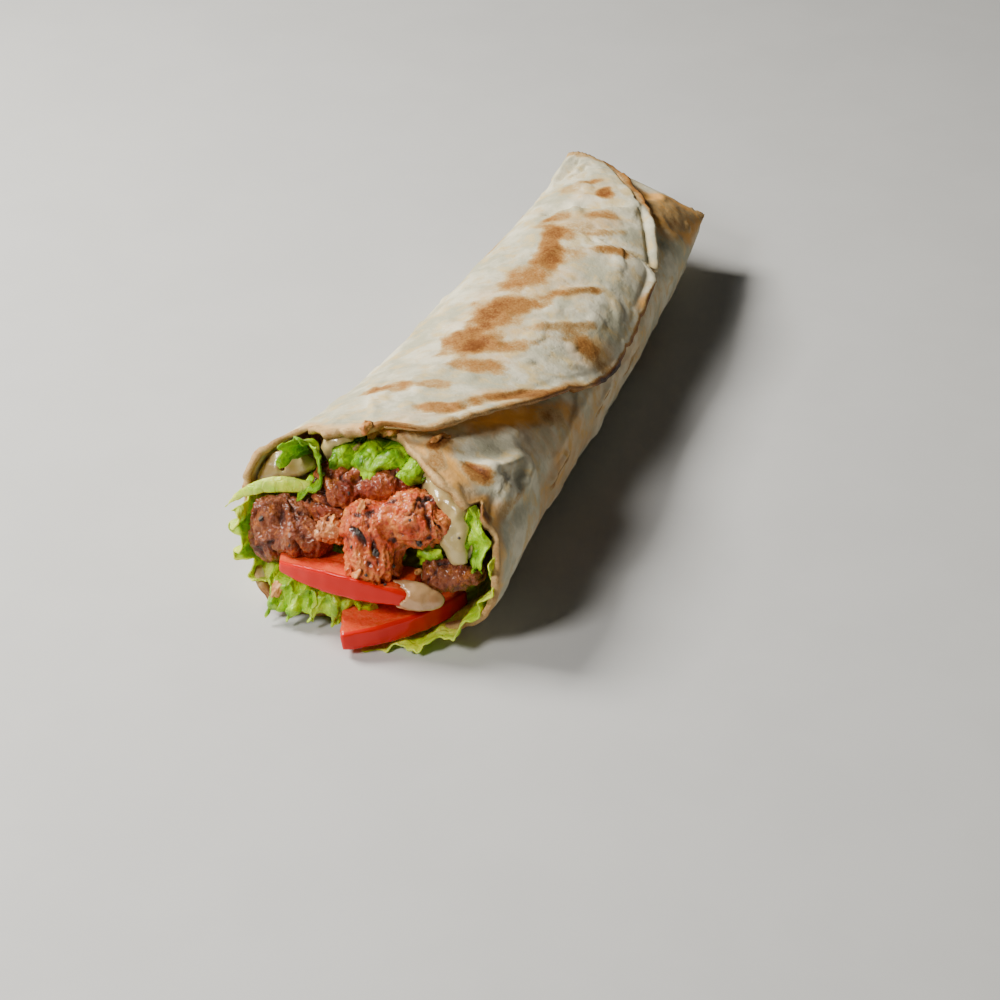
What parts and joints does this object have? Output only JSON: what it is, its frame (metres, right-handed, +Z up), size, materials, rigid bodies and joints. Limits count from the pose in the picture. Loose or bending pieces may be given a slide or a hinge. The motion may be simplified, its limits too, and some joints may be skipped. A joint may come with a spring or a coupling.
{
  "type": "doner kebab wrap",
  "caption": "Flatbread wrap rolled round shaved meat, lettuce, tomato and cream sauce, open at one end, with its far end folded shut.",
  "frame": {"origin": "on the ground under the middle of the roll, in the flat underside of the bread", "axes": "+Z up; +Y along the roll from its open mouth to its folded end; +X to the right as seen from the mouth"},
  "size_m": [0.0878, 0.2592, 0.0573],
  "materials": {
    "bread": "matt floury flatbread with toasted spots",
    "lettuce": "moist leaf with pale veins",
    "meat": "glossy roasted meat",
    "tomato": "wet tomato flesh and skin",
    "sauce": "wet cream sauce"
  },
  "bodies": {
    "root": {"bread": "bread", "lettuce_bed": "lettuce", "lettuce_curl": "lettuce", "lettuce_frill": "lettuce", "lettuce_inner": "lettuce", "lettuce_left": "lettuce", "lettuce_right": "lettuce", "lettuce_shred": "lettuce", "lettuce_side": "lettuce", "lettuce_top": "lettuce", "meat_centre": "meat", "meat_filling": "meat", "meat_inner": "meat", "meat_left": "meat", "meat_nugget": "meat", "meat_right": "meat", "meat_upper": "meat", "sauce_left": "sauce", "sauce_low": "sauce", "sauce_mid": "sauce", "sauce_right": "sauce", "tomato_left": "tomato", "tomato_right": "tomato"}
  },
  "joints": []
}
